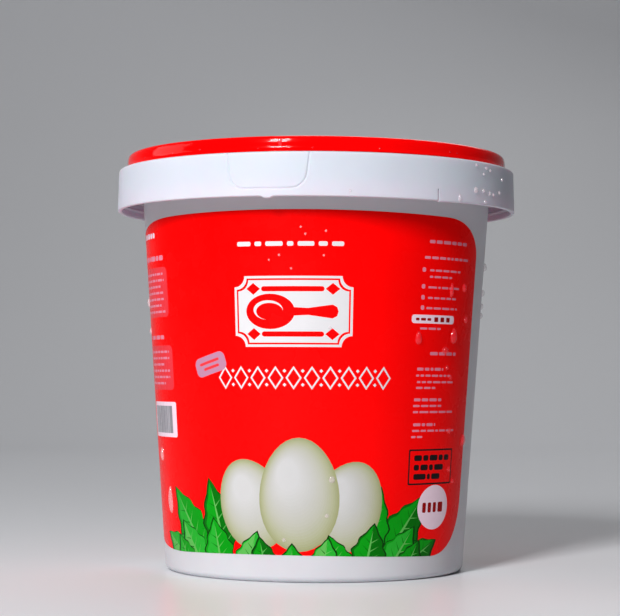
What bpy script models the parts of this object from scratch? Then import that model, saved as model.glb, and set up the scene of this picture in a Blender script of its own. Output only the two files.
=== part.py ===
"""A shut plastic tub of mayonnaise with a press-on lid.

The tapered white tub stands on a foot ring and carries two red labels, front and back, set
flush into its wall. Its rim is gripped by a white lid ring with a tall skirt and a tear tab,
and the red top of the lid stands up as a stacking rim round a sunken panel.

Metres, Z up, the middle of the front faces -Y, and the foot ring stands on Z = 0.
"""
from math import acos, cos, pi, radians, sin, tan, tau

import bmesh
import bpy
from mathutils import Vector

# The whole pack
HEIGHT = 0.1282
LID_RADIUS = 0.0621
GAP = 0.0003
SEGMENTS = 80
FILLET_STEP_LENGTH = 0.0006
MERGE_DISTANCE = 1e-6
SHARP_ANGLE = radians(32)

# The tub
BASE_RADIUS = 0.0461
TAPER = radians(4.02)
BASE_ROUND = 0.0020
FOOT_WIDTH = 0.0048
FOOT_HEIGHT = 0.0015
FOOT_CREASE = 0.0006
FOOT_EDGE = 0.0004
RIM_TOP = 0.1212
RIM_THICKNESS = 0.0022
RIM_INSET = 0.0016
RIM_RADIUS = LID_RADIUS - RIM_INSET
RIM_LIP_WALL = 0.0012
RIM_LIP_DEPTH = 0.0062
RIM_LIP_EDGE = 0.0003
RIM_CORNER = 0.0006
LEDGE_OUTER_CREASE = 0.0008
LEDGE_INNER_CREASE = 0.0010

# The white lid ring
SKIRT_BOTTOM = 0.1106
SKIRT_TOP = 0.1234
SKIRT_WALL = 0.0013
SKIRT_DRAFT = 0.00035
SKIRT_EDGE = 0.0004
SKIRT_SHOULDER = 0.0007
FLANGE_THICKNESS = 0.0010
FLANGE_INNER = 0.0595
FLANGE_EDGE = 0.0003
SNAP_BEAD_HEIGHT = 0.0026
SNAP_BEAD_DEPTH = 0.0006
SNAP_BEAD_EDGE = 0.0002

# The red top of the lid
TOP_FOOT_HEIGHT = 0.0006
TOP_FOOT_REACH = 0.0012
STACK_RIM_WIDTH = 0.0036
STACK_RIM_DRAFT = 0.0005
STACK_RIM_ROUND = 0.0016
STACK_RIM_INNER_ROUND = 0.0008
PANEL_DEPTH = 0.0026
PANEL_CREASE = 0.0010
PANEL_STEP_RADIUS = 0.0475
PANEL_STEP = 0.0006
PANEL_STEP_ROUND = 0.0004

# The tear tab in the skirt
TAB_ANGLE = radians(-13.2)
TAB_HALF_WIDTH = 0.0126
TAB_SIDE_SLOPE = 0.0016
TAB_BOTTOM = 0.11285
TAB_CORNER = 0.0050
TAB_GROOVE_WIDTH = 0.0006
TAB_GROOVE_DEPTH = 0.00035
GROOVE_FOOT_STEPS = 4
LIP_WIDTH = 0.0027
LIP_DROP = 0.0006
NOTCH_ANGLE = radians(34.5)
NOTCH_WIDTH = 0.0005
NOTCH_HEIGHT = 0.0033

# The labels, one in front and its like at the back
LABEL_RIGHT = radians(67)
LABEL_SPAN = radians(157)
LABEL_TOP = 0.1076
LABEL_BOTTOM = 0.0080
LABEL_TOP_DIP = 0.0010
LABEL_BOTTOM_DIP = 0.0017
RIGHT_CORNER_WIDTH = 0.0175
RIGHT_TOP_CORNER = 0.0110
RIGHT_BOTTOM_CORNER = 0.0170
LEFT_CORNER_WIDTH = 0.0315
LEFT_TOP_CORNER = 0.0080
LEFT_BOTTOM_CORNER = 0.0077
LABEL_CORNER_STEPS = 7
LABEL_THICKNESS = 0.0003
CUTTER_REACH = 0.0020

WHITE = (0.86, 0.86, 0.88)
RED = (0.80, 0.005, 0.006)
WALL_ROUGHNESS = 0.32
LID_ROUGHNESS = 0.28
RED_LID_ROUGHNESS = 0.20
LABEL_ROUGHNESS = 0.30


def clear_scene():
    for item in list(bpy.data.objects):
        bpy.data.objects.remove(item, do_unlink=True)


def plastic(name, colour, roughness):
    """Gloss plastic of one colour."""
    material = bpy.data.materials.new(name)
    material.use_nodes = True
    shader = material.node_tree.nodes["Principled BSDF"]
    shader.inputs["Base Color"].default_value = (*colour, 1.0)
    shader.inputs["Roughness"].default_value = roughness
    shader.inputs["Metallic"].default_value = 0.0
    return material


def wall_radius(height):
    """Outer radius of the tapered tub wall."""
    return BASE_RADIUS + height * tan(TAPER)


def rounded(corners, closed):
    """Points of an outline whose corners are (across, up, fillet radius)."""
    points = []
    last = len(corners) - 1
    for index, (across, up, fillet) in enumerate(corners):
        corner = Vector((across, up))
        if fillet == 0 or (not closed and index in (0, last)):
            points.append(corner)
            continue
        before = (Vector(corners[index - 1][:2]) - corner).normalized()
        after = (Vector(corners[(index + 1) % len(corners)][:2]) - corner).normalized()
        half_angle = acos(max(-1.0, min(1.0, before.dot(after)))) / 2
        centre = corner + (before + after).normalized() * (fillet / sin(half_angle))
        start = corner + before * (fillet / tan(half_angle)) - centre
        end = corner + after * (fillet / tan(half_angle)) - centre
        sweep = start.angle_signed(end)
        steps = max(1, round(fillet / FILLET_STEP_LENGTH))
        for step in range(steps + 1):
            turn = -sweep * step / steps
            spoke = Vector((start.x * cos(turn) - start.y * sin(turn),
                            start.x * sin(turn) + start.y * cos(turn)))
            points.append(centre + spoke)
    return points


def finish_object(name, mesh, material):
    """Turn a bmesh into a named object with smooth faces and crisp edges."""
    bmesh.ops.recalc_face_normals(mesh, faces=mesh.faces)
    data = bpy.data.meshes.new(name)
    mesh.to_mesh(data)
    mesh.free()
    data.shade_smooth()
    data.set_sharp_from_angle(angle=SHARP_ANGLE)
    if material:
        data.materials.append(material)
    item = bpy.data.objects.new(name, data)
    bpy.context.scene.collection.objects.link(item)
    return item


def turned(name, corners, material, closed=False):
    """Body of revolution about Z, from an outline of rounded corners at (radius, height)."""
    mesh = bmesh.new()
    verts = [mesh.verts.new((point.x, 0.0, point.y)) for point in rounded(corners, closed)]
    pairs = list(zip(verts, verts[1:]))
    if closed:
        pairs.append((verts[-1], verts[0]))
    edges = [mesh.edges.new(pair) for pair in pairs]
    bmesh.ops.spin(mesh, geom=verts + edges, cent=(0, 0, 0), axis=(0, 0, 1), angle=tau,
                   steps=SEGMENTS, use_merge=True)
    bmesh.ops.remove_doubles(mesh, verts=mesh.verts, dist=MERGE_DISTANCE)
    return finish_object(name, mesh, material)


def around(radius, angle, height):
    """Point at an angle from the front, which grows toward +X."""
    return (radius * sin(angle), -radius * cos(angle), height)


def bridged(name, rings, material=None):
    """Closed body through a row of four-cornered rings, with both ends capped."""
    mesh = bmesh.new()
    rows = [[mesh.verts.new(corner) for corner in ring] for ring in rings]
    for row, following in zip(rows, rows[1:]):
        for index in range(4):
            ahead = (index + 1) % 4
            mesh.faces.new((row[index], row[ahead], following[ahead], following[index]))
    mesh.faces.new(rows[0])
    mesh.faces.new(rows[-1])
    return finish_object(name, mesh, material)


def boolean(target, tool, operation):
    """Cut a hidden tool out of the target, or join it on."""
    tool.hide_render = True
    tool.display_type = "WIRE"
    step = target.modifiers.new(tool.name, "BOOLEAN")
    step.operation = operation
    step.object = tool
    step.solver = "EXACT"


def make_tub(material):
    """Solid tub: foot ring, tapered wall and a turned-down rim."""
    ledge = RIM_TOP - RIM_THICKNESS
    lip_inner = RIM_RADIUS - RIM_LIP_WALL
    lip_bottom = RIM_TOP - RIM_LIP_DEPTH
    foot_inner = BASE_RADIUS - FOOT_WIDTH
    return turned("tub", [
        (0.0, FOOT_HEIGHT, 0),
        (foot_inner - FOOT_HEIGHT, FOOT_HEIGHT, FOOT_CREASE),
        (foot_inner, 0.0, FOOT_EDGE),
        (BASE_RADIUS, 0.0, BASE_ROUND),
        (wall_radius(ledge), ledge, LEDGE_INNER_CREASE),
        (lip_inner, ledge, LEDGE_OUTER_CREASE),
        (lip_inner, lip_bottom, RIM_LIP_EDGE),
        (RIM_RADIUS, lip_bottom, RIM_LIP_EDGE),
        (RIM_RADIUS, RIM_TOP, RIM_CORNER),
        (0.0, RIM_TOP, 0),
    ], material)


def make_lid(material):
    """White ring of the lid: an outer skirt with a snap bead and a narrow flange."""
    inner = LID_RADIUS - SKIRT_WALL
    underside = SKIRT_TOP - FLANGE_THICKNESS
    bead = SKIRT_BOTTOM + SNAP_BEAD_HEIGHT
    return turned("lid", [
        (LID_RADIUS, SKIRT_BOTTOM, SKIRT_EDGE),
        (LID_RADIUS - SKIRT_DRAFT, SKIRT_TOP, SKIRT_SHOULDER),
        (FLANGE_INNER, SKIRT_TOP, FLANGE_EDGE),
        (FLANGE_INNER, underside, 0),
        (inner, underside, 0),
        (inner, bead + SNAP_BEAD_DEPTH, 0),
        (inner - SNAP_BEAD_DEPTH, bead, SNAP_BEAD_EDGE),
        (inner, bead - SNAP_BEAD_DEPTH, 0),
        (inner, SKIRT_BOTTOM, SKIRT_EDGE),
    ], material, closed=True)


def make_lid_top(material):
    """Red top of the lid: a foot under the white flange, a rounded rim and a sunken panel."""
    bottom = RIM_TOP + GAP
    foot_top = bottom + TOP_FOOT_HEIGHT
    rim_outer = FLANGE_INNER - GAP
    rim_inner = rim_outer - STACK_RIM_WIDTH
    foot_outer = rim_outer + TOP_FOOT_REACH
    panel = HEIGHT - PANEL_DEPTH
    return turned("lid_top", [
        (0.0, bottom, 0),
        (foot_outer, bottom, 0),
        (foot_outer, foot_top, 0),
        (rim_outer, foot_top, 0),
        (rim_outer - STACK_RIM_DRAFT, HEIGHT, STACK_RIM_ROUND),
        (rim_inner, HEIGHT, STACK_RIM_INNER_ROUND),
        (rim_inner - STACK_RIM_DRAFT, panel, PANEL_CREASE),
        (PANEL_STEP_RADIUS, panel, PANEL_STEP_ROUND),
        (PANEL_STEP_RADIUS - PANEL_STEP, panel - PANEL_STEP, PANEL_STEP_ROUND),
        (0.0, panel - PANEL_STEP, 0),
    ], material)


def skirt_radius(height):
    """Outer radius of the slightly drafted skirt."""
    return LID_RADIUS - SKIRT_DRAFT * (height - SKIRT_BOTTOM) / (SKIRT_TOP - SKIRT_BOTTOM)


def skirt_box(name, angle, width, low, high, inner, outer):
    """Small block that follows the skirt, for the pull lip and the notch."""
    half = width / 2 / LID_RADIUS
    rings = []
    for side in (angle - half, angle, angle + half):
        rings.append([around(inner, side, low), around(outer, side, low),
                      around(outer, side, high), around(inner, side, high)])
    return bridged(name, rings)


def tab_groove():
    """Tool that runs a narrow groove down, along the foot of and up the tear tab."""
    slope = TAB_HALF_WIDTH - TAB_SIDE_SLOPE
    above = SKIRT_TOP + CUTTER_REACH
    path = rounded([
        (-TAB_HALF_WIDTH, above, 0),
        (-slope, TAB_BOTTOM, TAB_CORNER),
        (slope, TAB_BOTTOM, TAB_CORNER),
        (TAB_HALF_WIDTH, above, 0),
    ], closed=False)
    middle = len(path) // 2
    foot = [path[middle - 1].lerp(path[middle], step / GROOVE_FOOT_STEPS)
            for step in range(1, GROOVE_FOOT_STEPS)]
    path = path[:middle] + foot + path[middle:]
    rings = []
    for index, point in enumerate(path):
        ahead = path[min(index + 1, len(path) - 1)]
        behind = path[max(index - 1, 0)]
        along = (ahead - behind).normalized()
        side = Vector((-along.y, along.x)) * (TAB_GROOVE_WIDTH / 2)
        ring = []
        for edge, depth in ((side, -TAB_GROOVE_DEPTH), (side, GAP),
                            (-side, GAP), (-side, -TAB_GROOVE_DEPTH)):
            place = point + edge
            radius = skirt_radius(place.y) + depth
            ring.append(around(radius, TAB_ANGLE + place.x / LID_RADIUS, place.y))
        rings.append(ring)
    return bridged("tab_groove", rings)


def label_columns():
    """(angle, lowest, highest) along the label, from its right end to its left."""
    mid_radius = wall_radius((LABEL_TOP + LABEL_BOTTOM) / 2)
    right = RIGHT_CORNER_WIDTH / mid_radius
    left = LEFT_CORNER_WIDTH / mid_radius
    turn = [step * pi / 2 / LABEL_CORNER_STEPS for step in range(LABEL_CORNER_STEPS + 1)]
    columns = [(right * (1 - cos(t)), RIGHT_BOTTOM_CORNER * (1 - sin(t)),
                RIGHT_TOP_CORNER * (1 - sin(t))) for t in turn]
    middle = LABEL_SPAN - right - left
    count = round(middle / (tau / SEGMENTS))
    columns += [(right + middle * step / count, 0.0, 0.0) for step in range(1, count)]
    columns += [(LABEL_SPAN - left * (1 - cos(t)), LEFT_BOTTOM_CORNER * (1 - sin(t)),
                 LEFT_TOP_CORNER * (1 - sin(t))) for t in reversed(turn)]
    found = []
    for distance, rise, drop in columns:
        dip = sin(distance - LABEL_SPAN / 2) ** 2
        found.append((LABEL_RIGHT - distance, LABEL_BOTTOM - LABEL_BOTTOM_DIP * dip + rise,
                      LABEL_TOP - LABEL_TOP_DIP * dip - drop))
    return found


def label_band(name, turn, inner, outer, margin, material=None):
    """Curved panel that follows the wall, from one depth to another, grown by a margin."""
    columns = label_columns()
    rings = []
    for index, (angle, low, high) in enumerate(columns):
        if index == 0:
            angle += margin / BASE_RADIUS
        if index == len(columns) - 1:
            angle -= margin / BASE_RADIUS
        angle += turn
        low -= margin
        high += margin
        rings.append([around(wall_radius(low) + inner, angle, low),
                      around(wall_radius(low) + outer, angle, low),
                      around(wall_radius(high) + outer, angle, high),
                      around(wall_radius(high) + inner, angle, high)])
    return bridged(name, rings, material)


def main():
    clear_scene()
    white_wall = plastic("white_tub_plastic", WHITE, WALL_ROUGHNESS)
    white_lid = plastic("white_lid_plastic", WHITE, LID_ROUGHNESS)
    red_lid = plastic("red_lid_plastic", RED, RED_LID_ROUGHNESS)
    red_label = plastic("red_label_film", RED, LABEL_ROUGHNESS)

    tub = make_tub(white_wall)
    for name, turn in (("label", 0.0), ("label_back", pi)):
        recess = label_band(name + "_recess", turn, -LABEL_THICKNESS - GAP, CUTTER_REACH, GAP)
        boolean(tub, recess, "DIFFERENCE")
        label_band(name, turn, -LABEL_THICKNESS, 0.0, 0.0, red_label)

    lid = make_lid(white_lid)
    boolean(lid, tab_groove(), "DIFFERENCE")
    inner = LID_RADIUS - SKIRT_WALL
    lip = skirt_box("pull_lip", TAB_ANGLE, LIP_WIDTH, SKIRT_BOTTOM - LIP_DROP,
                    SKIRT_BOTTOM + LIP_DROP, inner + GAP, LID_RADIUS - GAP)
    boolean(lid, lip, "UNION")
    notch = skirt_box("tear_notch", NOTCH_ANGLE, NOTCH_WIDTH, SKIRT_BOTTOM - GAP,
                      SKIRT_BOTTOM + NOTCH_HEIGHT, inner - CUTTER_REACH, LID_RADIUS + CUTTER_REACH)
    boolean(lid, notch, "DIFFERENCE")
    make_lid_top(red_lid)


main()
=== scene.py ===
"""The looks of a shut white plastic tub of mayonnaise with two red labels and a press-on lid.

Metres and degrees. An angle round the tub is measured from the middle of the front, which faces
-Y, and grows toward +X. Print is laid out on the unrolled label, in degrees round the tub and
millimetres above the floor.
"""
import math
import random

import bpy
import numpy as np
from mathutils import Matrix, Vector
from mathutils.geometry import delaunay_2d_cdt


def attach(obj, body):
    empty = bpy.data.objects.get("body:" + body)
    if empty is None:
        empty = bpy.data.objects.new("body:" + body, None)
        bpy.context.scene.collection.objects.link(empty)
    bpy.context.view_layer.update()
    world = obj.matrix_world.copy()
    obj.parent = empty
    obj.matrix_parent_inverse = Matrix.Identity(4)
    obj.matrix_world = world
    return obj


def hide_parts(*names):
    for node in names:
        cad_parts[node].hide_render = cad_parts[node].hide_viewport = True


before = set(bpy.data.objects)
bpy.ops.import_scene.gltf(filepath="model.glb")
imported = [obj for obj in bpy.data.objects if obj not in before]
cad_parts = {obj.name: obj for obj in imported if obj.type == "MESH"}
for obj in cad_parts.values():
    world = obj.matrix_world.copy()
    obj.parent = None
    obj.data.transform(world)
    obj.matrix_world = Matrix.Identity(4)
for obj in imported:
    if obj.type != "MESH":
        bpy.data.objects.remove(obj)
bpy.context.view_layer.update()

# sizes, the same as the solids
HEIGHT = 0.1282
LID_RADIUS = 0.0621
GAP = 0.0003
BASE_RADIUS = 0.0461
TAPER = math.radians(4.02)
BASE_ROUND = 0.0020
FOOT_WIDTH = 0.0048
FOOT_HEIGHT = 0.0015
RIM_TOP = 0.1212
RIM_THICKNESS = 0.0022
RIM_RADIUS = LID_RADIUS - 0.0016
RIM_LIP_WALL = 0.0012
RIM_LIP_DEPTH = 0.0062
SKIRT_BOTTOM = 0.1106
SKIRT_TOP = 0.1234
SKIRT_WALL = 0.0013
SKIRT_DRAFT = 0.00035
SKIRT_SHOULDER = 0.0007
FLANGE_THICKNESS = 0.0010
FLANGE_INNER = 0.0595
TOP_FOOT_HEIGHT = 0.0006
TOP_FOOT_REACH = 0.0012
STACK_RIM_WIDTH = 0.0036
STACK_RIM_DRAFT = 0.0005
STACK_RIM_FLARE = 0.0005
STACK_RIM_LEAN = 0.0017
STACK_RIM_ROUND = 0.0013
PANEL_DEPTH = 0.0026
PANEL_STEP_RADIUS = 0.0475
PANEL_STEP = 0.0006
TAB_ANGLE = -13.2
TAB_HALF_WIDTH = 0.0126
TAB_SIDE_SLOPE = 0.0016
TAB_BOTTOM = 0.11285
TAB_CORNER = 0.0050
GROOVE_HALF_WIDTH = 0.00024
GROOVE_DEPTH = 0.00030
LIP_WIDTH = 0.0027
LIP_DROP = 0.00055
NOTCH_ANGLE = 34.5
NOTCH_WIDTH = 0.0005
NOTCH_HEIGHT = 0.0033
NOTCH_SAG = 0.0003
LABEL_RIGHT = 67.0
LABEL_SPAN = 157.0
LABEL_TOP = 0.1076
LABEL_BOTTOM = 0.0080
LABEL_TOP_DIP = 0.0010
LABEL_BOTTOM_DIP = 0.0017
RIGHT_CORNER_WIDTH = 0.0175
RIGHT_TOP_CORNER = 0.0110
RIGHT_BOTTOM_CORNER = 0.0170
LEFT_CORNER_WIDTH = 0.0315
LEFT_TOP_CORNER = 0.0080
LEFT_BOTTOM_CORNER = 0.0077
LABEL_PROUD = 0.00004
FILM_ROUGHNESS = 0.26
FILM_SPECULAR = 0.06

FOOT_INNER_FILLET = 0.0006
FOOT_EDGE_FILLET = 0.0004
LEDGE_OUTER_FILLET = 0.0010
LEDGE_INNER_FILLET = 0.0008
RIM_EDGE_FILLET = 0.0003
RIM_TOP_FILLET = 0.0006
SKIRT_EDGE_FILLET = 0.0004
SKIRT_LOW_BAND = 0.0012
SKIRT_ROW = 0.00014
SKIRT_EDGE_WAVE = 0.00012
SKIRT_FACE_BAND = 0.0009
BEAD_LOW, BEAD_MIDDLE, BEAD_HIGH = 0.0020, 0.0026, 0.0032
BEAD_DEPTH = 0.0006
TAB_DISH = 0.00005
TAB_REACH = 0.016
LIP_EDGE = 0.00022
NOTCH_SAG_DEGREES = 9.0
FILM_EDGE_DEPTH = 0.00008

ROUND_STEP = 0.00016
SEGMENTS = 288

MOTTLE_SCALE = 55.0
GLOSS_SCALE = 130.0
WAVE_SCALE = 38.0
GRAIN_SCALE = 1500.0


def wall_radius(height):
    """Outer radius of the tapered tub wall."""
    return BASE_RADIUS + height * math.tan(TAPER)


def around(radius, degrees, height):
    """Point at an angle round the tub."""
    a = math.radians(degrees)
    return Vector((radius * math.sin(a), -radius * math.cos(a), height))


# materials
def node(tree, kind, **settings):
    made = tree.nodes.new(kind)
    for key, value in settings.items():
        setattr(made, key, value)
    return made


def noise(tree, coordinates, scale, detail=2.0):
    made = node(tree, "ShaderNodeTexNoise")
    made.inputs["Scale"].default_value = scale
    made.inputs["Detail"].default_value = detail
    tree.links.new(coordinates, made.inputs["Vector"])
    return made.outputs["Fac"]


def mapped(tree, value, low, high):
    made = node(tree, "ShaderNodeMapRange")
    made.inputs["From Min"].default_value = 0.3
    made.inputs["From Max"].default_value = 0.7
    made.inputs["To Min"].default_value = low
    made.inputs["To Max"].default_value = high
    tree.links.new(value, made.inputs["Value"])
    return made.outputs["Result"]


def moulded(name, colour, shade, roughness, specular, wave=0.00010, grain=0.000004,
            bleed=0.0, bleed_radius=(0.0, 0.0, 0.0)):
    """Gloss plastic or printed film with faint mottling, uneven gloss and a slightly wavy face."""
    material = bpy.data.materials.new(name)
    material.use_nodes = True
    tree = material.node_tree
    shader = tree.nodes["Principled BSDF"]
    shader.inputs["Specular IOR Level"].default_value = specular
    place = node(tree, "ShaderNodeTexCoord").outputs["Object"]

    ramp = node(tree, "ShaderNodeValToRGB")
    ramp.color_ramp.elements[0].position = 0.35
    ramp.color_ramp.elements[1].position = 0.65
    ramp.color_ramp.elements[0].color = (*shade, 1.0)
    ramp.color_ramp.elements[1].color = (*colour, 1.0)
    tree.links.new(noise(tree, place, MOTTLE_SCALE, 4.0), ramp.inputs["Fac"])
    tree.links.new(ramp.outputs["Color"], shader.inputs["Base Color"])

    gloss = mapped(tree, noise(tree, place, GLOSS_SCALE, 3.0), roughness * 0.85, roughness * 1.2)
    tree.links.new(gloss, shader.inputs["Roughness"])

    broad = node(tree, "ShaderNodeBump")
    broad.inputs["Strength"].default_value = 1.0
    broad.inputs["Distance"].default_value = wave
    tree.links.new(noise(tree, place, WAVE_SCALE, 1.0), broad.inputs["Height"])
    fine = node(tree, "ShaderNodeBump")
    fine.inputs["Strength"].default_value = 1.0
    fine.inputs["Distance"].default_value = grain
    tree.links.new(noise(tree, place, GRAIN_SCALE, 2.0), fine.inputs["Height"])
    tree.links.new(broad.outputs["Normal"], fine.inputs["Normal"])
    tree.links.new(fine.outputs["Normal"], shader.inputs["Normal"])

    if bleed:
        shader.inputs["Subsurface Weight"].default_value = bleed
        shader.inputs["Subsurface Radius"].default_value = bleed_radius
        shader.inputs["Subsurface Scale"].default_value = 1.0
    return material


def water(name, tint, alpha):
    """Water: see-through, with a sharp gloss."""
    material = bpy.data.materials.new(name)
    material.use_nodes = True
    tree = material.node_tree
    shader = tree.nodes["Principled BSDF"]
    shader.inputs["Base Color"].default_value = (*tint, 1.0)
    shader.inputs["Alpha"].default_value = alpha
    shader.inputs["Specular IOR Level"].default_value = 0.9
    shader.inputs["IOR"].default_value = 1.5
    place = node(tree, "ShaderNodeTexCoord").outputs["Object"]
    gloss = mapped(tree, noise(tree, place, 600.0), 0.03, 0.09)
    tree.links.new(gloss, shader.inputs["Roughness"])
    return material


WHITE = (0.612, 0.596, 0.632)
WHITE_SHADE = (0.588, 0.573, 0.609)
LID_WHITE = (0.606, 0.580, 0.665)
LID_WHITE_SHADE = (0.582, 0.557, 0.640)
RED = (0.96, 0.0003, 0.0006)
RED_SHADE = (0.93, 0.0003, 0.0004)
LID_RED = (0.90, 0.0006, 0.0010)
LID_RED_SHADE = (0.84, 0.0005, 0.0008)
WHITE_ROUGHNESS = 0.38
WALL_SPECULAR = 0.10
RING_SPECULAR = 0.06
LID_RED_ROUGHNESS = 0.09
LID_RED_SPECULAR = 0.12

white_wall = moulded("white_wall", WHITE, WHITE_SHADE, WHITE_ROUGHNESS, WALL_SPECULAR, bleed=0.20,
                     bleed_radius=(0.012, 0.003, 0.0045))
white_lid = moulded("white_lid_plastic", LID_WHITE, LID_WHITE_SHADE, WHITE_ROUGHNESS, RING_SPECULAR,
                    bleed=0.25, bleed_radius=(0.014, 0.003, 0.005))
red_lid = moulded("red_lid_plastic", LID_RED, LID_RED_SHADE, LID_RED_ROUGHNESS, LID_RED_SPECULAR,
                  wave=0.00006)

PRINT = {
    "red": (RED, RED_SHADE),
    "dark_red": ((0.30, 0.001, 0.002), (0.27, 0.001, 0.002)),
    "light_red": ((0.792, 0.0396, 0.0528), (0.7568, 0.0352, 0.0484)),
    "white": ((0.6512, 0.6424, 0.66), (0.6248, 0.616, 0.6336)),
    "bright": ((0.86, 0.67, 0.77), (0.83, 0.64, 0.74)),
    "pink": ((0.7568, 0.2288, 0.3168), (0.7216, 0.2024, 0.2904)),
    "pale_pink": ((0.4576, 0.2112, 0.3256), (0.4312, 0.1936, 0.2992)),
    "black": ((0.010, 0.006, 0.007), (0.014, 0.008, 0.009)),
    "grey": ((0.264, 0.2552, 0.2816), (0.2376, 0.2288, 0.2552)),
    "grey_light": ((0.4576, 0.44, 0.4752), (0.4224, 0.4048, 0.44)),
    "leaf": ((0.0026, 0.308, 0.007), (0.0018, 0.264, 0.0053)),
    "leaf_light": ((0.0194, 0.3872, 0.0282), (0.0123, 0.3432, 0.0194)),
    "leaf_pale": ((0.1144, 0.44, 0.088), (0.088, 0.396, 0.0704)),
    "leaf_dark": ((0.0009, 0.1496, 0.0026), (0.0009, 0.1144, 0.0026)),
    "leaf_line": ((0.0026, 0.0396, 0.0026), (0.0018, 0.0308, 0.0018)),
}
SHELL_STEPS = 20
SHELL_TONES = ((0.0, (0.31, 0.325, 0.16)), (0.2, (0.39, 0.40, 0.26)), (0.45, (0.46, 0.46, 0.39)),
               (0.7, (0.50, 0.50, 0.475)), (1.0, (0.56, 0.56, 0.56)))
for shell_step in range(SHELL_STEPS):
    part = shell_step / (SHELL_STEPS - 1)
    places = [at for at, _ in SHELL_TONES]
    tone = [float(np.interp(part, places, [colour[k] for _, colour in SHELL_TONES]))
            for k in range(3)]
    PRINT[f"shell_{shell_step}"] = (tone, [0.96 * value for value in tone])
PRINT_NAMES = list(PRINT)


# mesh helpers
def rounded(corners, closed=False):
    """Fine points of an outline whose corners are (across, up, fillet radius)."""
    points = []
    last = len(corners) - 1
    for index, (across, up, fillet) in enumerate(corners):
        corner = Vector((across, up))
        if fillet == 0 or (not closed and index in (0, last)):
            points.append(corner)
            continue
        before = (Vector(corners[index - 1][:2]) - corner).normalized()
        after = (Vector(corners[(index + 1) % len(corners)][:2]) - corner).normalized()
        half = math.acos(max(-1.0, min(1.0, before.dot(after)))) / 2
        centre = corner + (before + after).normalized() * (fillet / math.sin(half))
        start = corner + before * (fillet / math.tan(half)) - centre
        end = corner + after * (fillet / math.tan(half)) - centre
        sweep = start.angle_signed(end)
        steps = max(3, math.ceil(abs(sweep) * fillet / ROUND_STEP))
        for step in range(steps + 1):
            turn = -sweep * step / steps
            spoke = Vector((start.x * math.cos(turn) - start.y * math.sin(turn),
                            start.x * math.sin(turn) + start.y * math.cos(turn)))
            points.append(centre + spoke)
    return points


def new_piece(name, verts, faces, materials, stands_for=None, sharp=38.0):
    """Mesh object that rides on the part's one body."""
    mesh = bpy.data.meshes.new(name)
    mesh.from_pydata([tuple(v) for v in verts], [], faces)
    mesh.validate()
    mesh.shade_smooth()
    if sharp:
        mesh.set_sharp_from_angle(angle=math.radians(sharp))
    for material in materials:
        mesh.materials.append(material)
    item = bpy.data.objects.new(name, mesh)
    bpy.context.scene.collection.objects.link(item)
    if stands_for:
        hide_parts(stands_for)
    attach(item, "root")
    return item


def even_normals(item):
    """Keeps wide faces flat beside narrow rounded edges."""
    step = item.modifiers.new("even_normals", "WEIGHTED_NORMAL")
    step.weight = 80
    step.keep_sharp = True


def turned(name, profile, material, stands_for, closed=False):
    """Body of revolution from points at (radius, height)."""
    verts, rows = [], []
    for radius, height in profile:
        if radius < 1e-7:
            rows.append([len(verts)] * SEGMENTS)
            verts.append((0.0, 0.0, height))
            continue
        rows.append(list(range(len(verts), len(verts) + SEGMENTS)))
        verts += [tuple(around(radius, 360.0 * k / SEGMENTS, height)) for k in range(SEGMENTS)]
    pairs = list(zip(rows, rows[1:])) + ([(rows[-1], rows[0])] if closed else [])
    faces = []
    for low, high in pairs:
        for k in range(SEGMENTS):
            n = (k + 1) % SEGMENTS
            corners = [low[k], low[n], high[n], high[k]]
            faces.append([c for i, c in enumerate(corners) if c not in corners[:i]])
    item = new_piece(name, verts, faces, [material], stands_for)
    even_normals(item)
    return item


# tub and lid
def make_tub():
    ledge = RIM_TOP - RIM_THICKNESS
    lip_inner = RIM_RADIUS - RIM_LIP_WALL
    lip_bottom = RIM_TOP - RIM_LIP_DEPTH
    foot_inner = BASE_RADIUS - FOOT_WIDTH
    profile = rounded([
        (0.0, FOOT_HEIGHT, 0),
        (foot_inner - FOOT_HEIGHT, FOOT_HEIGHT, FOOT_INNER_FILLET),
        (foot_inner, 0.0, FOOT_EDGE_FILLET),
        (BASE_RADIUS, 0.0, BASE_ROUND),
        (wall_radius(ledge), ledge, LEDGE_OUTER_FILLET),
        (lip_inner, ledge, LEDGE_INNER_FILLET),
        (lip_inner, lip_bottom, RIM_EDGE_FILLET),
        (RIM_RADIUS, lip_bottom, RIM_EDGE_FILLET),
        (RIM_RADIUS, RIM_TOP, RIM_TOP_FILLET),
        (0.0, RIM_TOP, 0),
    ])
    return turned("tub_body", profile, white_wall, "tub")


def make_lid_top():
    bottom = RIM_TOP + GAP
    rim_outer = FLANGE_INNER - GAP
    rim_inner = rim_outer - STACK_RIM_WIDTH
    panel = HEIGHT - PANEL_DEPTH
    profile = rounded([
        (0.0, bottom, 0),
        (rim_outer + TOP_FOOT_REACH, bottom, 0),
        (rim_outer + TOP_FOOT_REACH, bottom + TOP_FOOT_HEIGHT, 0),
        (rim_outer, bottom + TOP_FOOT_HEIGHT, 0),
        (rim_outer, SKIRT_TOP + GAP, 0),
        (rim_outer + STACK_RIM_FLARE, SKIRT_TOP + GAP, 0.0001),
        (rim_outer, SKIRT_TOP + GAP + 0.0011, 0.0022),
        (rim_outer - 0.0001, HEIGHT - STACK_RIM_LEAN, 0.0040),
        (rim_outer - STACK_RIM_DRAFT, HEIGHT, STACK_RIM_ROUND),
        (rim_inner, HEIGHT, 0.0008),
        (rim_inner - STACK_RIM_DRAFT, panel, 0.0010),
        (PANEL_STEP_RADIUS, panel, 0.0004),
        (PANEL_STEP_RADIUS - PANEL_STEP, panel - PANEL_STEP, 0.0004),
        (0.0, panel - PANEL_STEP, 0),
    ])
    return turned("lid_red_top", profile, red_lid, "lid_top")


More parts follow.
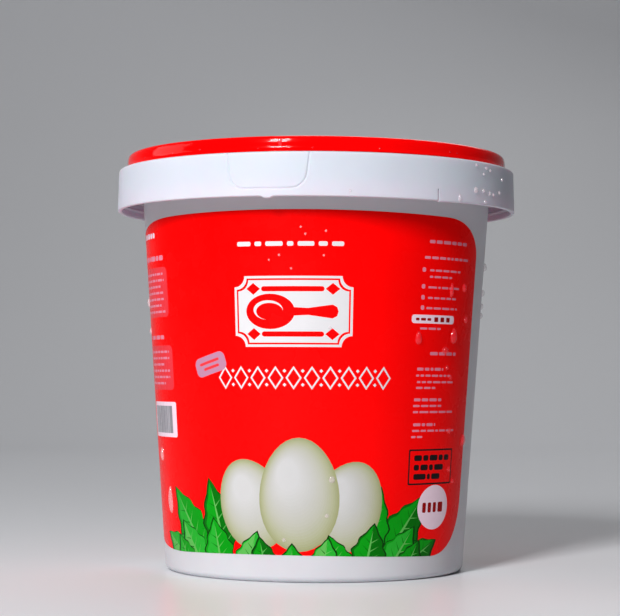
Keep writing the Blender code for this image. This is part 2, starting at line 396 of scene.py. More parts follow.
def tab_path():
    """The U of the tear tab, as points of (metres along the skirt, height)."""
    foot = TAB_HALF_WIDTH - TAB_SIDE_SLOPE
    above = SKIRT_TOP + 0.002
    return rounded([(-TAB_HALF_WIDTH, above, 0), (-foot, TAB_BOTTOM, TAB_CORNER),
                    (foot, TAB_BOTTOM, TAB_CORNER), (TAB_HALF_WIDTH, above, 0)])


def distance_to_path(points, path):
    """Shortest distance from each point to a run of straight pieces."""
    best = np.full(len(points), 1e9)
    for a, b in zip(path, path[1:]):
        a, b = np.array(a), np.array(b)
        along = np.clip(((points - a) @ (b - a)) / max((b - a) @ (b - a), 1e-18), 0, 1)
        best = np.minimum(best, np.linalg.norm(points - (a + along[:, None] * (b - a)), axis=1))
    return best


def lid_angles():
    """Columns round the ring from one side of the notch to the other, fine at the tab."""
    half = math.degrees(NOTCH_WIDTH / 2 / LID_RADIUS)
    degree = math.degrees(1 / LID_RADIUS)
    zones = [(NOTCH_ANGLE - 360 + half, NOTCH_ANGLE - 358, 0.25)]
    start = NOTCH_ANGLE - 358
    tab = TAB_ANGLE
    for reach, step in ((-0.0150, 1.2), (-0.0085, 0.14), (-0.0020, 0.5), (0.0020, 0.16),
                        (0.0085, 0.5), (0.0150, 0.14)):
        stop = tab + reach * degree
        zones.append((start, stop, step))
        start = stop
    zones += [(start, NOTCH_ANGLE - 2, 1.2), (NOTCH_ANGLE - 2, NOTCH_ANGLE - half, 0.25)]
    angles = []
    for first, last, step in zones:
        count = max(1, round((last - first) / step))
        angles += [first + (last - first) * k / count for k in range(count)]
    return angles + [NOTCH_ANGLE - half]


def make_lid_ring():
    inner = LID_RADIUS - SKIRT_WALL
    underside = SKIRT_TOP - FLANGE_THICKNESS
    notch_top = SKIRT_BOTTOM + NOTCH_HEIGHT
    outer_rows = [SKIRT_BOTTOM + SKIRT_EDGE_FILLET + SKIRT_ROW * k for k in range(1, 44)]
    outer_rows = [z for z in outer_rows if abs(z - notch_top) > 0.00005] + [notch_top]
    outer_rows = sorted(outer_rows)
    high = outer_rows[-1]
    outer_rows += [high + (SKIRT_TOP - SKIRT_SHOULDER - high) * k / 14 for k in range(1, 14)]
    corners = [(LID_RADIUS, SKIRT_BOTTOM, SKIRT_EDGE_FILLET)]
    corners += [(LID_RADIUS, z, 0) for z in outer_rows]
    corners += [
        (LID_RADIUS, SKIRT_TOP, SKIRT_SHOULDER),
        (FLANGE_INNER, SKIRT_TOP, 0.0003),
        (FLANGE_INNER, underside, 0),
        (inner, underside, 0),
        (inner, notch_top, 0),
        (inner, SKIRT_BOTTOM + BEAD_HIGH, 0),
        (inner - BEAD_DEPTH, SKIRT_BOTTOM + BEAD_MIDDLE, 0.0002),
        (inner, SKIRT_BOTTOM + BEAD_LOW, 0),
        (inner, SKIRT_BOTTOM, SKIRT_EDGE_FILLET),
    ]
    profile = rounded(corners, closed=True)
    radii = np.array([p.x for p in profile])
    heights = np.array([p.y for p in profile])
    angles = np.array(lid_angles())
    count, rows = len(angles), len(profile)

    phi = np.repeat(angles, rows)
    r = np.tile(radii, count)
    z = np.tile(heights, count)
    draft = SKIRT_DRAFT * (z - SKIRT_BOTTOM) / (SKIRT_TOP - SKIRT_BOTTOM)
    face_radius = LID_RADIUS - SKIRT_FACE_BAND
    inward = np.clip((r - FLANGE_INNER) / (face_radius - FLANGE_INNER), 0, 1)
    r -= draft * inward * (r > inner + 1e-5)
    along = np.radians(phi - TAB_ANGLE) * LID_RADIUS
    near = (r > face_radius) & (np.abs(along) < TAB_REACH)
    reach = distance_to_path(np.stack([along[near], z[near]], 1), tab_path())
    r[near] -= GROOVE_DEPTH * np.exp(-(reach / GROOVE_HALF_WIDTH) ** 2)
    pillow = np.clip(1 - np.abs(along[near]) / TAB_HALF_WIDTH, 0, 1)
    r[near] -= TAB_DISH * pillow * (z[near] > TAB_BOTTOM)

    low_part = np.clip((SKIRT_BOTTOM + SKIRT_LOW_BAND - z) / SKIRT_LOW_BAND, 0, 1)
    lip = 1 / (1 + np.exp((np.abs(along) - LIP_WIDTH / 2) / LIP_EDGE))
    z -= LIP_DROP * lip * low_part
    from_notch = np.mod(phi - NOTCH_ANGLE, 360)
    sag_part = np.clip((SKIRT_BOTTOM + NOTCH_HEIGHT - z) / NOTCH_HEIGHT, 0, 1)
    z -= NOTCH_SAG * np.exp(-from_notch / NOTCH_SAG_DEGREES) * sag_part
    z -= SKIRT_EDGE_WAVE * np.sin(np.radians(phi * 2 + 20)) * low_part

    a = np.radians(phi)
    verts = np.stack([r * np.sin(a), -r * np.cos(a), z], 1)
    in_notch = [h <= notch_top + 1e-9 for h in heights]
    faces = []
    for c in range(count - 1):
        for i in range(rows):
            n = (i + 1) % rows
            faces.append((c * rows + i, (c + 1) * rows + i, (c + 1) * rows + n, c * rows + n))
    last = (count - 1) * rows
    for i in range(rows):
        n = (i + 1) % rows
        if not (in_notch[i] and in_notch[n]):
            faces.append((last + i, i, n, last + n))
    edge = [i for i in range(rows) if in_notch[i]]
    ceiling = sorted(edge, key=lambda i: -heights[i])[:2]
    top_out = max(ceiling, key=lambda i: radii[i])
    top_in = min(ceiling, key=lambda i: radii[i])
    order = []
    i = top_in
    while True:
        order.append(i)
        if i == top_out:
            break
        i = (i + 1) % rows
    faces.append(tuple(order))
    faces.append(tuple(last + i for i in reversed(order)))
    faces.append((top_out, last + top_out, last + top_in, top_in))
    return new_piece("lid_ring", verts, faces, [white_lid], "lid", sharp=42.0)


# print on the label
shapes = []


def mm_per_degree(z_mm):
    return math.radians(1.0) * (BASE_RADIUS * 1000 + z_mm * math.tan(TAPER))


def put(colour, middle, points, tilt=0.0):
    """Adds a shape drawn in millimetres about a middle of (degrees, millimetres)."""
    c, s = math.cos(math.radians(tilt)), math.sin(math.radians(tilt))
    wide = mm_per_degree(middle[1])
    shapes.append((colour, [(middle[0] + (x * c - y * s) / wide, middle[1] + x * s + y * c)
                            for x, y in points]))


def arc_points(x, y, radius, start, end, steps):
    return [(x + radius * math.cos(math.radians(start + (end - start) * k / steps)),
             y + radius * math.sin(math.radians(start + (end - start) * k / steps)))
            for k in range(steps + 1)]


def pill_points(width, height, corner):
    corner = min(corner, width / 2, height / 2)
    w, h = width / 2 - corner, height / 2 - corner
    steps = max(2, min(8, round(corner * 4)))
    return (arc_points(w, h, corner, 0, 90, steps) + arc_points(-w, h, corner, 90, 180, steps)
            + arc_points(-w, -h, corner, 180, 270, steps)
            + arc_points(w, -h, corner, 270, 360, steps))


def ticket_points(width, height, bite):
    w, h = width / 2, height / 2
    return (arc_points(w, h, bite, 270, 180, 8) + arc_points(-w, h, bite, 360, 270, 8)
            + arc_points(-w, -h, bite, 90, 0, 8) + arc_points(w, -h, bite, 180, 90, 8))


def oval_points(width, height, narrow=0.0, steps=36):
    """Oval; narrow above 0 draws the top in, as on an egg."""
    found = []
    for k in range(steps):
        t = math.tau * k / steps
        found.append((width / 2 * math.cos(t) * (1 - narrow * math.sin(t)),
                      height / 2 * math.sin(t)))
    return found


def leaf_points(length, width, steps=22, frill=0.0):
    """Pointed leaf that starts at (0, 0) and grows along +y, with a frilled edge."""
    right = []
    for t in (k / steps for k in range(steps + 1)):
        reach = width / 2 * math.sin(math.pi * t ** 0.85) * (1 - 0.22 * t)
        right.append((reach * (1 + frill * math.sin(math.tau * 4.5 * t)), length * t))
    return right + [(-x, y) for x, y in reversed(right[1:-1])]


def bar(colour, start, end, low, high, corner=0.3):
    """Upright band between two angles and two heights."""
    middle = ((start + end) / 2, (low + high) / 2)
    put(colour, middle, pill_points((end - start) * mm_per_degree(middle[1]), high - low, corner))


def lozenge_points(width, height):
    return [(width / 2, 0), (0, height / 2), (-width / 2, 0), (0, -height / 2)]


def words(colour, start, stop, z, tall, seed, longest=3.6):
    """A row of short bars, like one line of small print seen from afar."""
    pick = random.Random(seed)
    wide = mm_per_degree(z)
    at = start
    while at < stop - 0.7:
        length = min(stop - at, pick.uniform(1.1, longest) / wide)
        bar(colour, at, at + length, z - tall / 2, z + tall / 2, tall * 0.3)
        at += length + 0.55 / wide


def leaf(at, z, length, width, tilt, fill, pale):
    """Frilled leaf with a dark outline, a light half, a pale midrib and side veins."""
    put("leaf_line", (at, z - 0.4), leaf_points(length + 1.0, width + 0.9, frill=0.09), tilt)
    put(fill, (at, z), leaf_points(length, width, frill=0.09), tilt)
    half = [(x, y) for x, y in leaf_points(length * 0.95, width * 0.84, frill=0.09) if x <= 1e-6]
    put(pale, (at, z + 0.3), [(x - 0.12, y) for x, y in half], tilt)
    for k in range(4):
        y = length * (0.18 + 0.16 * k)
        reach = width * (0.34 - 0.045 * k)
        for side in (-1, 1):
            put("leaf_dark" if side < 0 else "leaf_pale", (at, z),
                [(side * 0.10, y - 0.14), (side * reach, y + reach * 0.75),
                 (side * 0.10, y + 0.30)], tilt)
    put("leaf_pale", (at, z), leaf_points(length * 0.90, width * 0.05 + 0.2), tilt)


def egg(at, z, width, height, tilt):
    """Egg in soft steps from a green-grey shadow at the lower right to a pale upper left."""
    wide = mm_per_degree(z)
    for step in range(SHELL_STEPS):
        part = step / (SHELL_STEPS - 1)
        scale = 1.0 - 0.72 * part ** 1.15
        shift = 0.17 * part ** 1.3
        put(f"shell_{step}", (at - shift * width * 0.8 / wide, z + shift * height),
            oval_points(width * scale, height * scale, 0.10), tilt)


def facing():
    """The printed front."""
    # short line of bars above the plaque
    x = -25.6
    for length in (4.6, 2.2, 5.6, 2.0, 5.2, 2.8, 3.8):
        bar("white", x, x + length, 97.1, 98.4, 0.4)
        x += length + 1.35

    # plaque
    middle = (-7.5, 78.3)
    put("white", middle, ticket_points(35.0, 20.4, 3.2))
    put("red", middle, ticket_points(33.6, 19.0, 3.2))
    put("white", middle, ticket_points(32.6, 18.0, 3.2))
    put("red", middle, [(x - 6.6, y) for x, y in oval_points(14.6, 10.2)])
    put("red", middle, [(-1.0, 1.3), (-1.0, -1.3), (4.5, -1.0), (11.6, -2.0), (12.9, -1.3),
                        (13.3, 0.0), (12.9, 1.3), (11.6, 2.0), (4.5, 1.0)])
    put("white", middle, [(x - 7.2, y + 0.4) for x, y in oval_points(8.8, 5.6)])
    put("red", middle, [(x - 6.8, y) for x, y in oval_points(8.0, 4.9)])
    for side in (-1, 1):
        put("red", middle, [(x, y + side * 6.5) for x, y in pill_points(18.4, 1.5, 0.75)])
        for x in (-11.6, 11.6):
            put("red", middle, [(x + a, side * 6.5 + b) for a, b in lozenge_points(4.2, 3.4)])

    # title band of open lozenges and dots
    for k in range(10):
        at = (-31.4 + 6.05 * k, 59.2)
        put("white", at, lozenge_points(4.7, 6.8))
        put("red", at, lozenge_points(3.5, 5.1))
        if k < 9:
            put("white", (at[0] + 3.02, at[1] + 2.0), lozenge_points(1.1, 1.1))
            put("white", (at[0] + 3.02, at[1] - 2.0), lozenge_points(1.1, 1.1))

    # small tilted tag
    tag = (-37.6, 63.0)
    put("pale_pink", tag, pill_points(11.6, 5.6, 1.9), 16)
    put("light_red", tag, [(x - 0.2, y + 0.8) for x, y in pill_points(7.6, 0.8, 0.4)], 16)
    put("light_red", tag, [(x + 0.2, y - 0.9) for x, y in pill_points(6.0, 0.8, 0.4)], 16)

    # food picture: leaf tones are outer and inner,
    # leaves are (angle, foot, length, width, tilt, tone)
    tones = (("leaf", "leaf_light"), ("leaf_light", "leaf_pale"), ("leaf_dark", "leaf"))
    behind = ((-42, 6, 25, 13, 36, 0), (-33, 6, 24, 12, 14, 2), (-48, 3, 19, 11, 60, 1),
              (25, 6, 23, 13, -36, 2), (17, 6, 22, 12, -14, 0), (31, 3, 17, 11, -60, 2))
    before = ((-43, 1.5, 18, 11, 34, 1), (-50, 0, 14, 9, 30, 0), (-35, 1, 17, 11, 10, 0),
              (-26, 0, 15, 10, -16, 1), (26, 1.5, 17, 11, -34, 0), (33, 0, 13, 9, -28, 2),
              (18, 1, 16, 11, -10, 2), (10, 0, 14, 10, 16, 0), (-17, 0, 13, 9, 10, 2),
              (2, 0, 13, 9, -10, 1), (-8, -1, 12, 9, 0, 0))
    for at, z, length, width, tilt, tone in behind:
        leaf(at, z, length, width, tilt, *tones[tone])
    egg(-22.5, 22.5, 21.0, 27.0, 20)
    egg(11.5, 22.0, 21.0, 27.0, -20)
    egg(-5.5, 25.5, 23.5, 33.0, 0)
    for at, z, length, width, tilt, tone in before:
        leaf(at, z, length, width, tilt, *tones[tone])


def side_column():
    """Small print, a code pill, a black panel and an oval to the right of the front."""
    words("pink", 38.9, 59.0, 99.4, 0.95, 11)
    words("pink", 37.1, 60.0, 94.7, 0.75, 12)
    words("pink", 39.6, 56.0, 91.0, 0.60, 13)
    words("pink", 39.6, 50.5, 89.1, 0.60, 14)
    words("pink", 39.2, 55.0, 86.0, 0.60, 15)
    words("pink", 39.2, 54.0, 82.9, 0.60, 16)
    words("pink", 38.8, 54.5, 79.9, 0.60, 17)
    for z in (91.1, 86.2, 83.0, 80.0):
        put("pink", (37.1, z), pill_points(1.3, 1.3, 0.4))
    bar("bright", 32.9, 53.0, 75.4, 77.9, 0.9)
    words("dark_red", 34.6, 41.5, 76.6, 0.8, 18, 2.4)
    for at in (43.6, 46.6, 49.6):
        put("dark_red", (at, 76.6), pill_points(1.7, 1.4, 0.2))
    words("pink", 36.5, 46.0, 73.9, 0.6, 19)
    words("pink", 41.5, 55.5, 66.6, 0.95, 20)
    rows = ((62.0, 36.1, 48.6), (60.1, 35.8, 54.0), (58.2, 36.3, 55.0), (56.5, 36.0, 45.0),
            (53.0, 35.4, 48.5), (51.2, 35.1, 48.7), (49.4, 35.2, 56.4),
            (45.7, 35.5, 46.0), (43.9, 35.2, 57.3), (42.1, 34.9, 41.0))
    for k, (z, start, stop) in enumerate(rows):
        words("pink", start, stop, z, 0.85 if k in (0, 4, 7) else 0.60, 30 + k)
    bar("black", 34.3, 57.5, 28.0, 38.5, 0.4)
    bar("red", 34.9, 56.9, 28.5, 38.0, 0.3)
    for k, (z, stop) in enumerate(((35.9, 55.0), (33.1, 52.5), (30.4, 50.5))):
        words("black", 36.7, stop, z, 1.7, 50 + k, 5.0)
    middle = (47.8, 21.2)
    put("bright", middle, oval_points(14.0, 13.2))
    for x, wide in ((-4.3, 1.5), (-2.0, 1.5), (0.3, 1.5), (3.1, 2.4)):
        put("dark_red", middle, [(x + a, b) for a, b in pill_points(wide, 3.0, 0.4)])


def left_column():
    """Small print, two light panels and a striped code box to the left of the front."""
    words("bright", -82.0, -65.8, 102.2, 1.6, 61)
    words("pink", -81.0, -60.8, 95.2, 1.5, 62, 5.0)
    bar("light_red", -84.0, -58.7, 77.4, 92.4, 1.8)
    for k in range(7):
        words("pink", -82.0, -61.0 - 3.0 * (k % 3 == 2), 90.4 - 1.9 * k, 0.7, 63 + k)
    words("pink", -79.5, -63.4, 71.3, 1.2, 71)
    bar("light_red", -82.0, -57.6, 55.4, 68.8, 1.8)
    for k in range(6):
        words("pink", -80.0, -60.0 - 4.0 * (k % 3 == 2), 66.9 - 1.9 * k, 0.7, 73 + k)
    bar("bright", -80.6, -56.9, 41.2, 51.8, 0.6)
    bar("grey", -79.0, -60.0, 42.4, 50.6, 0.1)
    x = -78.4
    pick = random.Random(5)
    while x < -61.4:
        wide = pick.choice((0.5, 0.7, 1.0))
        bar("grey_light", x, x + wide, 42.4, 50.6, 0.02)
        x += wide + pick.choice((0.6, 0.9, 1.3))


def inside(points, polygon):
    """Which of the points lie in a polygon."""
    found = np.zeros(len(points), bool)
    px, py = points[:, 0], points[:, 1]
    xs, ys = polygon[:, 0], polygon[:, 1]
    xn, yn = np.roll(xs, -1), np.roll(ys, -1)
    for x1, y1, x2, y2 in zip(xs, ys, xn, yn):
        if y1 == y2:
            continue
        crossing = (y1 > py) != (y2 > py)
        found ^= crossing & (px < (x2 - x1) * (py - y1) / (y2 - y1) + x1)
    return found


def label_outline():
    """Outline of the front label, as (degrees, millimetres)."""
    mid_radius = wall_radius((LABEL_TOP + LABEL_BOTTOM) / 2)
    right = math.degrees(RIGHT_CORNER_WIDTH / mid_radius)
    left = math.degrees(LEFT_CORNER_WIDTH / mid_radius)
    turn = [k * math.pi / 2 / 24 for k in range(25)]
    middle = LABEL_SPAN - right - left
    columns = [(right * (1 - math.cos(t)), RIGHT_BOTTOM_CORNER * (1 - math.sin(t)),
                RIGHT_TOP_CORNER * (1 - math.sin(t))) for t in turn]
    columns += [(right + middle * k / 100, 0.0, 0.0) for k in range(1, 100)]
    columns += [(LABEL_SPAN - left * (1 - math.cos(t)), LEFT_BOTTOM_CORNER * (1 - math.sin(t)),
                 LEFT_TOP_CORNER * (1 - math.sin(t))) for t in reversed(turn)]
    low, high = [], []
    for distance, rise, drop in columns:
        dip = math.sin(math.radians(distance - LABEL_SPAN / 2)) ** 2
        angle = LABEL_RIGHT - distance
        low.append((angle, 1000 * (LABEL_BOTTOM - LABEL_BOTTOM_DIP * dip + rise)))
        high.append((angle, 1000 * (LABEL_TOP - LABEL_TOP_DIP * dip - drop)))
    return high + low[::-1]


def make_labels():
    """Thin printed films on the wall, cut along the edges of their printed shapes."""
    facing()
    side_column()
    left_column()
    scale = mm_per_degree(55.0)
    outline = np.array(label_outline()) * (scale, 1.0)
    points, edges = [], []

    def add_loop(loop):
        loop = [p for k, p in enumerate(loop) if math.dist(p, loop[k - 1]) > 0.004]
        loop = [(a[0] + (b[0] - a[0]) * t / cuts, a[1] + (b[1] - a[1]) * t / cuts)
                for a, b in zip(loop, loop[1:] + loop[:1])
                for cuts in [max(1, math.ceil(abs(b[0] - a[0]) / 1.0))] for t in range(cuts)]
        first = len(points)
        points.extend(loop)
        edges.extend((first + k, first + (k + 1) % len(loop)) for k in range(len(loop)))

    add_loop([tuple(p) for p in outline])
    polygons = []
    for colour, loop in shapes:
        flat = np.array(loop) * (scale, 1.0)
        polygons.append((colour, flat))
        add_loop([tuple(p) for p in flat])
    grid = []
    for k in range(130):
        x = (LABEL_RIGHT - LABEL_SPAN * k / 129) * scale
        for z in range(8, 108, 4):
            grid.append((x + 0.003 * (z % 7), z + 0.011 * (k % 5)))
    grid = np.array(grid)
    points.extend(tuple(p) for p in grid[inside(grid, outline)])

    flat_verts, _, flat_faces, _, _, _ = delaunay_2d_cdt(
        [Vector(p) for p in points], edges, [], 0, 1e-5, False)
    flat = np.array([tuple(v) for v in flat_verts])
    tris = np.array([f for f in flat_faces if len(f) == 3])
    centres = flat[tris].mean(axis=1)
    kept = inside(centres, outline)
    tris, centres = tris[kept], centres[kept]
    paint = np.zeros(len(tris), int)
    for colour, polygon in polygons:
        low, high = polygon.min(axis=0), polygon.max(axis=0)
        close = np.nonzero(((centres >= low) & (centres <= high)).all(axis=1))[0]
        hit = close[inside(centres[close], polygon)]
        paint[hit] = PRINT_NAMES.index(colour)

    used, tris = np.unique(tris, return_inverse=True)
    tris = tris.reshape(-1, 3)
    flat = flat[used]
    phi = np.radians(flat[:, 0] / scale)
    z = flat[:, 1] / 1000

    def on_wall(offset, angle, height):
        r = BASE_RADIUS + height * math.tan(TAPER) + offset
        return np.stack([r * np.sin(angle), -r * np.cos(angle), height], 1)

    front = on_wall(LABEL_PROUD, phi, z)
    normals = np.stack([np.sin(phi) * math.cos(TAPER), -np.cos(phi) * math.cos(TAPER),
                        np.full(len(phi), -math.sin(TAPER))], 1)
    a, b, c = front[tris[:, 0]], front[tris[:, 1]], front[tris[:, 2]]
    facing_out = np.einsum("ij,ij->i", np.cross(b - a, c - a), normals[tris[:, 0]]) > 0
    tris = np.where(facing_out[:, None], tris, tris[:, ::-1])

    # the cut edge of the film
    count = {}
    for f, tri in enumerate(tris):
        for k in range(3):
            key = (tri[k], tri[(k + 1) % 3])
            count[key] = f
    rim = [(u, v, f) for (u, v), f in count.items() if (v, u) not in count]
    verts = list(front)
    all_normals = list(normals)
    faces = [tuple(t) for t in tris]
    colours = list(paint)
    sunk = on_wall(-FILM_EDGE_DEPTH, phi, z)
    for u, v, f in rim:
        n = len(verts)
        verts += [front[u], sunk[u], sunk[v], front[v]]
        side = np.cross(front[v] - front[u], normals[u])
        side /= max(np.linalg.norm(side), 1e-12)
        all_normals += [side] * 4
        faces.append((n, n + 1, n + 2, n + 3))
        colours.append(paint[f])

    materials = [moulded("film_" + name, *PRINT[name], FILM_ROUGHNESS, FILM_SPECULAR, wave=0.00008)
                 for name in PRINT_NAMES]
    for name, node_name, turn in (("label_film", "label", 0.0),
                                  ("label_film_back", "label_back", math.pi)):
        c, sn = math.cos(turn), math.sin(turn)
        spin = np.array([[c, sn, 0.0], [-sn, c, 0.0], [0.0, 0.0, 1.0]])
        mesh = bpy.data.meshes.new(name)
        mesh.from_pydata([tuple(v) for v in np.array(verts) @ spin], [], faces)
        for material in materials:
            mesh.materials.append(material)
        mesh.polygons.foreach_set("material_index", np.array(colours, dtype=np.int32))
        mesh.shade_smooth()
        mesh.normals_split_custom_set_from_vertices(
            [tuple(n) for n in np.array(all_normals) @ spin])
        item = bpy.data.objects.new(name, mesh)
        bpy.context.scene.collection.objects.link(item)
        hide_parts(node_name)
        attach(item, "root")


# water droplets
SKIRT_DROPS = [  # angle, height in mm, width, height, thickness
    (49.1, 122.0, 1.0, 1.0, 0.40), (54.0, 121.5, 1.1, 1.1, 0.40), (56.2, 121.0, 0.9, 1.0, 0.35),
    (52.7, 119.6, 0.9, 0.9, 0.35), (63.8, 119.1, 1.2, 1.2, 0.45), (48.9, 114.6, 1.8, 1.9, 0.60),
    (52.7, 114.7, 1.1, 1.1, 0.40), (55.9, 114.2, 1.0, 1.2, 0.40), (58.0, 114.0, 0.9, 1.0, 0.35),
    (61.9, 115.0, 1.2, 1.2, 0.45), (42.2, 111.8, 1.3, 2.2, 0.50), (53.5, 111.5, 1.2, 1.2, 0.40),
    (8.8, 112.2, 0.8, 0.8, 0.30), (80.5, 112.0, 2.2, 2.6, 0.75),
]
RING_DROPS = [
    (-60.3, 124.9, 0.7, 0.6, 0.25), (-54.7, 124.6, 0.5, 0.5, 0.20), (-45.4, 124.8, 0.7, 0.6, 0.25),
    (-37.2, 124.1, 0.5, 0.5, 0.20), (-34.9, 125.1, 0.6, 0.5, 0.20), (-16.4, 124.5, 0.6, 0.6, 0.25),
    (-10.2, 126.2, 1.1, 2.6, 0.40), (-1.1, 124.6, 0.6, 0.6, 0.25), (17.7, 124.8, 0.6, 0.6, 0.25),
    (41.0, 125.3, 0.6, 0.6, 0.25), (43.9, 125.2, 0.5, 0.5, 0.20),
]
LABEL_DROPS = [
    (-4.8, 102.5, 0.7, 0.7, 0.24), (-3.4, 100.5, 0.7, 0.8, 0.26), (3.0, 101.4, 0.7, 0.8, 0.26),
    (-11.7, 94.5, 0.7, 0.8, 0.26), (-15.0, 93.1, 0.6, 0.7, 0.24), (2.4, 94.4, 0.7, 0.7, 0.24),
    (-7.9, 90.6, 0.7, 0.7, 0.24), (4.6, 73.6, 1.0, 1.0, 0.32), (5.9, 29.9, 1.9, 2.1, 0.38),
    (4.3, 19.5, 1.3, 1.3, 0.30), (-10.8, 12.4, 1.2, 1.2, 0.30), (-72.6, 35.8, 2.0, 4.2, 0.70),
    (-65.4, 22.2, 2.6, 8.4, 0.80), (84.0, 94.0, 2.4, 2.6, 0.95), (84.0, 86.0, 2.2, 2.4, 0.80),
    (84.0, 81.8, 2.2, 2.0, 0.75), (84.0, 78.9, 2.0, 2.0, 0.70), (-84.5, 82.4, 2.2, 3.0, 0.70),
    (-83.0, 73.6, 1.6, 2.2, 0.60),
]
RED_DROPS = [
    (50.7, 85.6, 1.5, 4.2, 0.70), (53.5, 72.0, 2.8, 4.8, 0.90), (49.1, 67.6, 2.8, 2.4, 0.80),
    (36.1, 71.1, 2.3, 4.0, 0.80), (50.6, 62.5, 1.5, 1.5, 0.50), (53.0, 59.7, 1.4, 1.4, 0.50),
    (54.4, 43.7, 1.6, 1.8, 0.55), (65.5, 40.8, 2.4, 4.0, 0.90), (55.7, 32.3, 1.6, 1.6, 0.50),
    (58.9, 28.6, 1.5, 1.5, 0.50), (58.6, 86.5, 2.0, 2.6, 0.70), (61.0, 77.0, 1.4, 2.0, 0.60),
]
DROP_SUNK = 0.00006


def make_drops():
    verts, faces = [], []

    def drop(base, outward, sideways, upward, width, height, thick):
        start = len(verts)
        rings, spokes = 5, 16
        droop = 0.30 if height > width * 1.3 else 0.05
        for k in range(rings + 1):
            reach = math.sin(math.pi / 2 * k / rings)
            rise = math.cos(math.pi / 2 * k / rings)
            for j in range(spokes if k else 1):
                t = math.tau * j / spokes
                swell = 1 - droop * math.sin(t)
                place = (base + sideways * (width / 2 * reach * math.cos(t) * swell)
                         + upward * (height / 2 * reach * math.sin(t))
                         + outward * (thick * rise - DROP_SUNK))
                verts.append(tuple(place))
        for j in range(spokes):
            n = (j + 1) % spokes
            faces.append((start, start + 1 + j, start + 1 + n))
            for k in range(1, rings):
                low = start + 1 + (k - 1) * spokes
                high = low + spokes
                faces.append((low + j, high + j, high + n, low + n))
        rim = start + 1 + (rings - 1) * spokes
        faces.append(tuple(rim + j for j in reversed(range(spokes))))

    def place_drop(radius, lean, degrees, z, width, height, thick):
        a = math.radians(degrees)
        outward = Vector((math.sin(a) * math.cos(lean), -math.cos(a) * math.cos(lean),
                          -math.sin(lean)))
        sideways = Vector((math.cos(a), math.sin(a), 0.0))
        upward = sideways.cross(outward) * -1
        if upward.z < 0:
            upward = -upward
        drop(around(radius, degrees, z / 1000), outward, sideways, upward,
             width / 1000, height / 1000, thick / 1000)

    def place_all(drops, radius_at, lean):
        for degrees, z, width, height, thick in drops:
            place_drop(radius_at(degrees, z / 1000), lean, degrees, z, width, height, thick)

    ring_radius = FLANGE_INNER - GAP
    place_all(SKIRT_DROPS, lambda degrees, z: LID_RADIUS - (0.0008 if degrees > 80 else 0), 0.0)
    place_all(LABEL_DROPS, lambda degrees, z: wall_radius(z) + LABEL_PROUD, TAPER)
    clear_faces = len(faces)
    place_all(RED_DROPS, lambda degrees, z: wall_radius(z) + LABEL_PROUD, TAPER)
    place_all(RING_DROPS, lambda degrees, z: ring_radius, 0.0)
    waters = [water("clear_water", (0.93, 0.80, 0.85), 0.30),
              water("water_on_red", (0.95, 0.045, 0.065), 0.36)]
    item = new_piece("water_drops", verts, faces, waters)
    item.data.polygons.foreach_set(
        "material_index", np.array([k >= clear_faces for k in range(len(faces))], dtype=np.int32))
    return item


make_tub()
make_lid_ring()
make_lid_top()
make_labels()
make_drops()


# stage, light and camera
STAGE_COLOUR = (0.80, 0.81, 0.84)
STAGE_BEND = 0.60
STAGE_BACK = 1.60
STAGE_REACH = 12.0
STAGE_TOP = 4.0
STAGE_LOW = -0.00003
STAGE_ROUGHNESS = 0.30
STAGE_SPECULAR = 0.20


def make_stage():
    """Plain pale floor that sweeps up far behind the tub."""
    material = bpy.data.materials.new("stage_paper")
    material.use_nodes = True
    shader = material.node_tree.nodes["Principled BSDF"]
    shader.inputs["Base Color"].default_value = (*STAGE_COLOUR, 1.0)
    shader.inputs["Roughness"].default_value = STAGE_ROUGHNESS
    shader.inputs["Specular IOR Level"].default_value = STAGE_SPECULAR
    line = [(-STAGE_REACH, STAGE_LOW), (-0.4, STAGE_LOW), (0.4, STAGE_LOW)]
    for k in range(25):
        t = math.radians(90 * k / 24)
        line.append((STAGE_BACK - STAGE_BEND * (1 - math.sin(t)),
                     STAGE_LOW + STAGE_BEND * (1 - math.cos(t))))
    line.append((STAGE_BACK, STAGE_TOP))
    verts = [(x, y, z) for y, z in line for x in (-STAGE_REACH, -0.5, 0.5, STAGE_REACH)]
    faces = []
    for k in range(len(line) - 1):
        for j in range(3):
            a = k * 4 + j
            faces.append((a, a + 1, a + 5, a + 4))
    mesh = bpy.data.meshes.new("stage_sweep")
    mesh.from_pydata(verts, [], faces)
    mesh.shade_smooth()
    mesh.materials.append(material)
    item = bpy.data.objects.new("stage_sweep", mesh)
    bpy.context.scene.collection.objects.link(item)


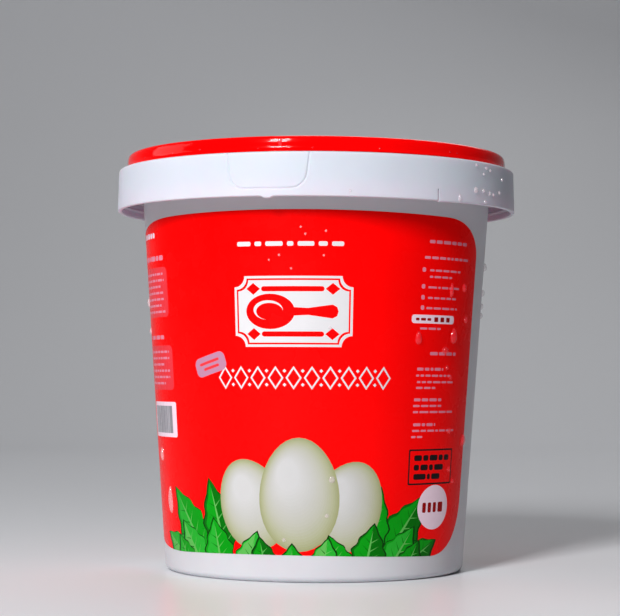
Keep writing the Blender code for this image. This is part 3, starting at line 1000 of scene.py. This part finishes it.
def soft_box(name, place, aim, width, height, power):
    """Plain white area light."""
    data = bpy.data.lights.new(name, "AREA")
    data.shape = "RECTANGLE"
    data.size, data.size_y = width, height
    data.energy = power
    item = bpy.data.objects.new(name, data)
    item.location = place
    item.rotation_mode = "QUATERNION"
    item.rotation_quaternion = (Vector(aim) - Vector(place)).to_track_quat("-Z", "Y")
    bpy.context.scene.collection.objects.link(item)
    item.visible_camera = False


def polar(azimuth, elevation, distance):
    """Place at a distance from the point on the tub's axis that the lights aim at."""
    a, e = math.radians(azimuth), math.radians(elevation)
    return (distance * math.sin(a) * math.cos(e), -distance * math.cos(a) * math.cos(e),
            AIM_HEIGHT + distance * math.sin(e))


SOFT_BOXES = (  # name, azimuth, elevation, distance, width, height, power
    ("key_light", -22.5, 30.5, 1.0, 0.17, 0.30, 11.5),
    ("left_fill", -100, 20, 1.6, 0.80, 0.60, 3.0),
    ("back_fill", 165, 40, 1.5, 0.80, 0.60, 4.0),
)
AIM_HEIGHT = 0.06
AIR_STRENGTH = 0.05


def make_light():
    for name, azimuth, elevation, distance, width, height, power in SOFT_BOXES:
        place = polar(azimuth, elevation, distance)
        soft_box(name, place, (0.0, 0.0, AIM_HEIGHT), width, height, power)
    world = bpy.data.worlds.new("studio_air")
    world.use_nodes = True
    air = world.node_tree.nodes["Background"]
    air.inputs["Color"].default_value = (1.0, 1.0, 1.0, 1.0)
    air.inputs["Strength"].default_value = AIR_STRENGTH
    bpy.context.scene.world = world


CAMERA_PLACE = (-0.0017, -0.6002, 0.0581)
CAMERA_LENS = 111.0
CAMERA_TILT = 92.21
CAMERA_ROLL = 0.342


def make_camera():
    data = bpy.data.cameras.new("front_camera")
    data.sensor_width = 36.0
    data.lens = CAMERA_LENS
    data.clip_start, data.clip_end = 0.01, 20.0
    item = bpy.data.objects.new("front_camera", data)
    item.location = CAMERA_PLACE
    item.rotation_mode = "QUATERNION"
    turn = (Matrix.Rotation(math.radians(CAMERA_TILT), 4, "X")
            @ Matrix.Rotation(math.radians(CAMERA_ROLL), 4, "Z"))
    item.rotation_quaternion = turn.to_quaternion()
    bpy.context.scene.collection.objects.link(item)
    bpy.context.scene.camera = item


make_stage()
make_light()
make_camera()
bpy.context.scene.view_settings.view_transform = "Standard"
